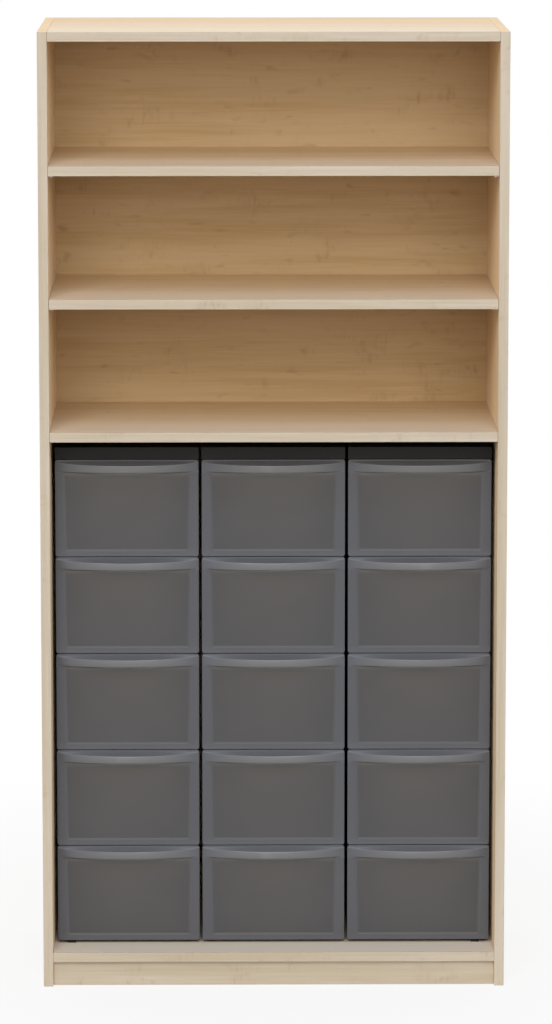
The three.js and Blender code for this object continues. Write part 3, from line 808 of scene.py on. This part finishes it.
@dataclass(frozen=True)
class DrawerTray:
    """A drawer's hanging tray with its flange and two stop lugs, about the front's reference point.

    Sizes are in millimetres. Heights are given as depths below the front's top edge.
    """

    top_half: float = 126.0
    bottom_half: float = 118.5
    rim: float = 10.9
    floor: float = 181.9
    front: float = 2.6
    rear: float = 353.5
    rear_draft: float = 7.0
    wall: float = 2.2
    corner: float = 16.0
    corner_growth: float = 4.0
    corner_least: float = 2.0
    foot_round: float = 5.0
    fillet: float = 7.0
    rim_round: float = 0.5
    flange_top: float = 12.4
    flange_thickness: float = 3.0
    flange_width: float = 10.0
    flange_round: float = 0.6
    flange_end_share: float = 0.15
    lug_start: float = 316.0
    lug_length: float = 8.0
    lug_width: float = 5.0
    lug_top: float = 7.9
    lug_root: float = 0.5
    lug_corner: float = 1.0
    lug_chamfer: float = 0.8
    corner_points: int = 7
    round_points: int = 5

    def plan_ring(self, half: float, front: float, rear: float, radius: float, spread: float) -> Array:
        """A rounded rectangle in plan, anticlockwise from above.

        It is moved outwards by a spread, which is full on the long sides and a small share at the ends, and
        between them goes with the square of the normal's part across.

        Args:
            half: half of the width.
            front: near edge.
            rear: far edge.
            radius: corner radius.
            spread: outward move on the long sides.

        Returns:
            One row of x and y for each point.
        """
        turn = np.linspace(0.0, QUARTER_TURN, self.corner_points)
        angle = np.concatenate([turn - QUARTER_TURN, turn, turn + QUARTER_TURN, turn + math.pi])
        normal = np.stack([np.cos(angle), np.sin(angle)], axis=-1)
        side = np.repeat(np.array([1.0, 1.0, -1.0, -1.0]) * (half - radius), len(turn))
        near, far = front + radius, rear - radius
        along = np.repeat(np.array([near, far, far, near]), len(turn))
        share = self.flange_end_share + (1.0 - self.flange_end_share) * normal[:, :1] ** 2
        return np.stack([side, along], axis=-1) + normal * (radius + spread * share)

    @staticmethod
    def ring_shell(rings: list[tuple[Array, float]]) -> tuple[Array, Faces]:
        """Joins plan rings at their heights into a closed shell, with a flat face over the first and last.

        Args:
            rings: plan points with their height, in order along the wall's profile.

        Returns:
            Vertices and faces.
        """
        count = len(rings[0][0])
        vertices = np.concatenate([np.column_stack([plan, np.full(count, z)]) for plan, z in rings])
        index = np.arange(len(rings) * count).reshape(len(rings), count)
        ahead = np.roll(index, -1, axis=1)
        quads = np.stack([index[:-1], ahead[:-1], ahead[1:], index[1:]], axis=-1).reshape(-1, 4)
        faces: Faces = [tuple(quad) for quad in quads.tolist()]
        faces.append(tuple(index[0, ::-1].tolist()))
        faces.append(tuple(index[-1].tolist()))
        return vertices, faces

    def station(self, z: float, inset: float = 0.0, spread: float = 0.0) -> tuple[Array, float]:
        """The drafted tray's plan at a height, moved in by an inset or out by a flange's spread."""
        rise = (self.floor + z) / (self.floor - self.rim)
        half = self.bottom_half + (self.top_half - self.bottom_half) * rise - inset
        rear = self.rear - self.rear_draft * (1.0 - rise) - inset
        radius = max(self.corner + self.corner_growth * rise - inset, self.corner_least)
        return self.plan_ring(half, self.front + inset, rear, radius, spread), z

    def shell(self) -> tuple[Array, Faces]:
        """The tray: its wall's profile carried round a rounded rectangle.

        The profile rises from the floor's rounded edge up the outer wall, out and back over the flange,
        over the rim, and down the inner wall through a fillet to the inner floor.

        Returns:
            Vertices and faces.
        """
        rim = -self.rim
        flange_top = -self.flange_top
        flange_foot = flange_top - self.flange_thickness
        flange_edge = self.flange_width - self.flange_round
        inner_floor = self.wall - self.floor
        angles = np.linspace(0.0, QUARTER_TURN, self.round_points)
        rings = [self.station(self.foot_round * (1.0 - math.cos(a)) - self.floor,
                              self.foot_round * (1.0 - math.sin(a))) for a in angles]
        rings += [
            self.station(flange_foot),
            self.station(flange_foot, spread=flange_edge),
            self.station(flange_foot + self.flange_round, spread=self.flange_width),
            self.station(flange_top - self.flange_round, spread=self.flange_width),
            self.station(flange_top, spread=flange_edge),
            self.station(flange_top),
            self.station(rim - self.rim_round),
            self.station(rim, self.rim_round),
            self.station(rim, self.wall - self.rim_round),
            self.station(rim - self.rim_round, self.wall),
        ]
        rings += [self.station(inner_floor + self.fillet * (1.0 - math.sin(a)),
                               self.wall + self.fillet * (1.0 - math.cos(a))) for a in angles]
        return self.ring_shell(rings)

    def lug_shell(self, sign: float) -> tuple[Array, Faces]:
        """One stop lug, left for a sign of -1 and right for 1: a rounded block with a chamfered top."""
        centre = sign * (self.top_half + self.flange_width - self.lug_width / 2.0)
        end = self.lug_start + self.lug_length
        levels = ((-self.flange_top - self.lug_root, 0.0), (-self.lug_top - self.lug_chamfer, 0.0),
                  (-self.lug_top, self.lug_chamfer))
        rings = []
        for z, inset in levels:
            plan = self.plan_ring(self.lug_width / 2.0 - inset, self.lug_start + inset, end - inset,
                                  self.lug_corner, 0.0)
            rings.append((plan + np.array([centre, 0.0]), z))
        return self.ring_shell(rings)


@dataclass
class DrawerMoulding:
    """One drawer, moulded in one: its front, its tray and the stop lugs."""

    front: DrawerFront
    tray: DrawerTray

    @classmethod
    def fitted_to(cls, node: str) -> "DrawerMoulding":
        """Takes the front's width and height from a CAD drawer."""
        low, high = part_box(node)
        front = DrawerFront(half_width=(high[0] - low[0]) / 2.0 / MM, height=(high[2] - low[2]) / MM)
        return cls(front, DrawerTray())

    def whole(self) -> tuple[Array, Array, Array, Faces]:
        """The drawer's shells together, in metres.

        Returns:
            Vertices, their tones, how thin the plastic looks, and the faces.
        """
        vertices, tones, faces = self.front.shell()
        thinness = self.front.thinness(vertices)
        parts = (self.tray.shell(), self.tray.lug_shell(-1.0), self.tray.lug_shell(1.0))
        for part_vertices, part_faces in parts:
            start = len(vertices)
            vertices = np.concatenate([vertices, part_vertices])
            tones = np.concatenate([tones, np.full(len(part_vertices), self.front.side_tone)])
            thinness = np.concatenate([thinness, np.zeros(len(part_vertices))])
            faces += [tuple(start + i for i in face) for face in part_faces]
        return vertices * MM, tones, thinness, faces


@dataclass
class DrawerTowers:
    """Three towers of five drawers in stacked housings, each under a cover."""

    carcass: Carcass
    moulding: DrawerMoulding
    edge_mm: float = 0.6
    sharp_angle: float = 35.0

    def build_drawers(self, smoke: Material) -> None:
        """Makes every drawer's moulding where its CAD node is, and lets it ride on that drawer's body."""
        vertices, tones, thinness, faces = self.moulding.whole()
        pattern = bpy.data.meshes.new("drawer_pattern")
        pattern.from_pydata(vertices.tolist(), [], faces)
        pattern.polygons.foreach_set("use_smooth", np.ones(len(pattern.polygons), dtype=bool))
        pattern.attributes.new("tone", "FLOAT", "POINT").data.foreach_set("value", tones)
        pattern.attributes.new("thinness", "FLOAT", "POINT").data.foreach_set("value", thinness)
        pattern.set_sharp_from_angle(angle=math.radians(self.sharp_angle))
        for place in TOWER_PLACES:
            for row in TOWER_ROWS:
                self.place_drawer(f"{place}_drawer_{row}", pattern, vertices, smoke)
        bpy.data.meshes.remove(pattern)

    def place_drawer(self, node: str, pattern: Mesh, vertices: Array, smoke: Material) -> None:
        """Copies the pattern to one drawer's place.

        Args:
            node: the CAD drawer, which is also the body it moves with.
            pattern: the drawer's mesh about its own reference point.
            vertices: the pattern's vertices.
            smoke: the drawers' material.
        """
        low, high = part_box(node)
        front_plane = low[1] + self.moulding.front.lip_bow * MM
        place = np.array([(low[0] + high[0]) / 2.0, front_plane, high[2]])
        mesh = pattern.copy()
        mesh.name = f"{node}_moulding"
        mesh.vertices.foreach_set("co", (vertices + place).ravel())
        mesh.materials.append(smoke)
        mesh.update()
        piece = bpy.data.objects.new(f"{node}_moulding", mesh)
        bpy.context.scene.collection.objects.link(piece)
        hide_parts(node)
        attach(piece, node)
        LOG.info("built %s", piece.name)

    def dress_housings(self, anthracite: Material) -> None:
        """Gives the covers, housings and stops their finish and softened edges."""
        nodes = [f"tower_stop_{side}" for side in SIDES]
        for place in TOWER_PLACES:
            nodes.append(f"{place}_cover")
            nodes += [f"{place}_housing_{row}" for row in TOWER_ROWS]
        for node in nodes:
            self.carcass.paint(node, anthracite)
            self.carcass.soften_edges(node, self.edge_mm)
            LOG.info("dressed %s", node)


@dataclass(frozen=True)
class SoftBox:
    """A rectangular soft lamp: where it stands and points, its width and height, power and tint."""

    name: str
    place: Point
    aim: Point
    size: Span
    power: float
    tint: str = "#ffffff"
    is_in_gloss: bool = False

    def stand(self) -> None:
        """Puts the lamp in the scene, out of the camera's sight, and in gloss only where it should show."""
        data = bpy.data.lights.new(self.name, "AREA")
        data.shape = "RECTANGLE"
        data.size, data.size_y = self.size
        data.energy = self.power
        data.color = linear_rgba(self.tint)[:3]
        lamp = bpy.data.objects.new(self.name, data)
        lamp.location = self.place
        aim = np.array(self.aim) - np.array(self.place)
        level = math.hypot(aim[0], aim[1])
        lamp.rotation_euler = (math.atan2(level, -aim[2]), 0.0, math.atan2(-aim[0], aim[1]))
        lamp.visible_camera = False
        lamp.visible_glossy = self.is_in_gloss
        bpy.context.scene.collection.objects.link(lamp)


@dataclass(frozen=True)
class Studio:
    """Camera, soft lamps, white surroundings and the pale floor.

    The cool overhead lamp shows on the slopes over the drawers' lips, and the fill reaches into the
    compartments.
    """

    camera_place: Point = (-0.0956, -9.8385, 2.484)
    camera_pitch: float = 9.0304
    camera_yaw: float = 0.5967
    lens: float = 173.78
    sensor_width: float = 36.0
    front_sky: float = 0.25
    rear_sky: float = 1.1
    sky_turn: Span = (-0.3, 0.5)
    floor_half: float = 40.0
    floor_near: str = "#dcdcda"
    floor_far: str = "#6c6c6a"
    floor_tint_reach: Span = (0.8, 3.0)
    floor_white: float = 0.85
    floor_white_reach: Span = (0.4, 2.0)
    lamps: tuple[SoftBox, ...] = (
        SoftBox("key", (-1.1, -8.5, 6.6), (0.0, 0.0, 1.0), (5.4, 3.8), 440.0),
        SoftBox("overhead", (0.0, -3.6, 6.4), (0.0, -0.2, 1.0), (3.0, 1.6), 98.0, "#d0dcff",
                is_in_gloss=True),
        SoftBox("fill", (0.05, -7.5, 3.2), (0.0, 0.0, 1.0), (6.0, 2.4), 152.0),
    )

    def set_camera(self) -> None:
        """Puts the camera where the photographer stood."""
        data = bpy.data.cameras.new("camera")
        data.lens = self.lens
        data.sensor_width = self.sensor_width
        camera = bpy.data.objects.new("camera", data)
        camera.location = self.camera_place
        camera.rotation_euler = (QUARTER_TURN - math.radians(self.camera_pitch), 0.0,
                                 -math.radians(self.camera_yaw))
        bpy.context.scene.collection.objects.link(camera)
        bpy.context.scene.camera = camera

    @staticmethod
    def seen_share(tree: NodeTree) -> NodeSocket:
        """One for rays that show the surroundings, straight or through gloss and glass, else zero."""
        path = add_node(tree, "ShaderNodeLightPath")
        gloss = add_node(tree, "ShaderNodeMath", {
            0: path.outputs["Is Camera Ray"], 1: path.outputs["Is Glossy Ray"]}, operation="MAXIMUM")
        seen = add_node(tree, "ShaderNodeMath", {
            0: gloss.outputs[0], 1: path.outputs["Is Transmission Ray"]}, operation="MAXIMUM")
        return seen.outputs[0]

    def set_world(self) -> None:
        """White surroundings to look at, and a soft sky for light that is fuller behind the cupboard."""
        world = bpy.data.worlds.new("studio")
        world.use_nodes = True
        tree = world.node_tree
        tree.nodes.clear()
        way = add_node(tree, "ShaderNodeTexCoord")
        axes = add_node(tree, "ShaderNodeSeparateXYZ", {0: way.outputs["Generated"]})
        sky = add_node(tree, "ShaderNodeMapRange", {
            VALUE: axes.outputs["Y"], FROM_LOW: self.sky_turn[0], FROM_HIGH: self.sky_turn[1],
            TO_LOW: self.front_sky, TO_HIGH: self.rear_sky})
        strength = add_node(tree, "ShaderNodeMapRange", {
            VALUE: self.seen_share(tree), TO_LOW: sky.outputs[0], TO_HIGH: 1.0})
        background = add_node(tree, "ShaderNodeBackground", {
            "Color": WHITE, "Strength": strength.outputs[0]})
        add_node(tree, "ShaderNodeOutputWorld", {"Surface": background.outputs[0]})
        bpy.context.scene.world = world

    def set_floor(self) -> None:
        """A pale floor that keeps the soft shadow and fades into the white surroundings."""
        ends = (-self.floor_half, self.floor_half)
        mesh = bpy.data.meshes.new("floor")
        mesh.from_pydata([(x, y, 0.0) for y in ends for x in ends], [], [(0, 1, 3, 2)])
        material, tree = new_material("pale_floor")
        place = add_node(tree, "ShaderNodeTexCoord")
        reach = add_node(tree, "ShaderNodeVectorMath", {0: place.outputs["Object"]}, operation="LENGTH")
        whiteness = add_node(tree, "ShaderNodeMapRange", {
            VALUE: reach.outputs["Value"], FROM_LOW: self.floor_white_reach[0],
            FROM_HIGH: self.floor_white_reach[1], TO_LOW: self.floor_white, TO_HIGH: 1.0},
            interpolation_type="SMOOTHSTEP")
        white = add_node(tree, "ShaderNodeMath", {0: whiteness.outputs[0], 1: self.seen_share(tree)},
                         operation="MULTIPLY")
        tint = add_node(tree, "ShaderNodeMapRange", {
            VALUE: reach.outputs["Value"], FROM_LOW: self.floor_tint_reach[0],
            FROM_HIGH: self.floor_tint_reach[1], TO_LOW: 0.0, TO_HIGH: 1.0})
        colour = add_node(tree, "ShaderNodeMix", {
            FACTOR: tint.outputs[0], COLOUR_A: linear_rgba(self.floor_near),
            COLOUR_B: linear_rgba(self.floor_far)}, data_type="RGBA")
        matt = add_node(tree, "ShaderNodeBsdfDiffuse", {"Color": colour.outputs[MIXED]})
        glow = add_node(tree, "ShaderNodeEmission", {"Color": WHITE, "Strength": 1.0})
        shader = add_node(tree, "ShaderNodeMixShader", {
            0: white.outputs[0], 1: matt.outputs[0], 2: glow.outputs[0]})
        surface_output(tree, shader)
        mesh.materials.append(material)
        floor = bpy.data.objects.new("floor", mesh)
        bpy.context.scene.collection.objects.link(floor)

    def set_up(self) -> None:
        """Sets the camera, surroundings, floor, lamps and plain colour transform."""
        self.set_camera()
        self.set_world()
        self.set_floor()
        for lamp in self.lamps:
            lamp.stand()
        bpy.context.scene.view_settings.view_transform = "Standard"


def main() -> None:
    """Loads the frame, sets the studio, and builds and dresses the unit."""
    logging.basicConfig(level=logging.INFO)
    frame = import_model()
    Studio().set_up()
    carcass = Carcass(frame)
    carcass.dress(MapleMelamine(), NickelPlate())
    towers = DrawerTowers(carcass, DrawerMoulding.fitted_to("left_drawer_1"))
    towers.dress_housings(AnthracitePolypropylene().material("anthracite_polypropylene"))
    towers.build_drawers(SmokyPolypropylene().material("smoky_polypropylene"))


if __name__ == "__main__":
    main()
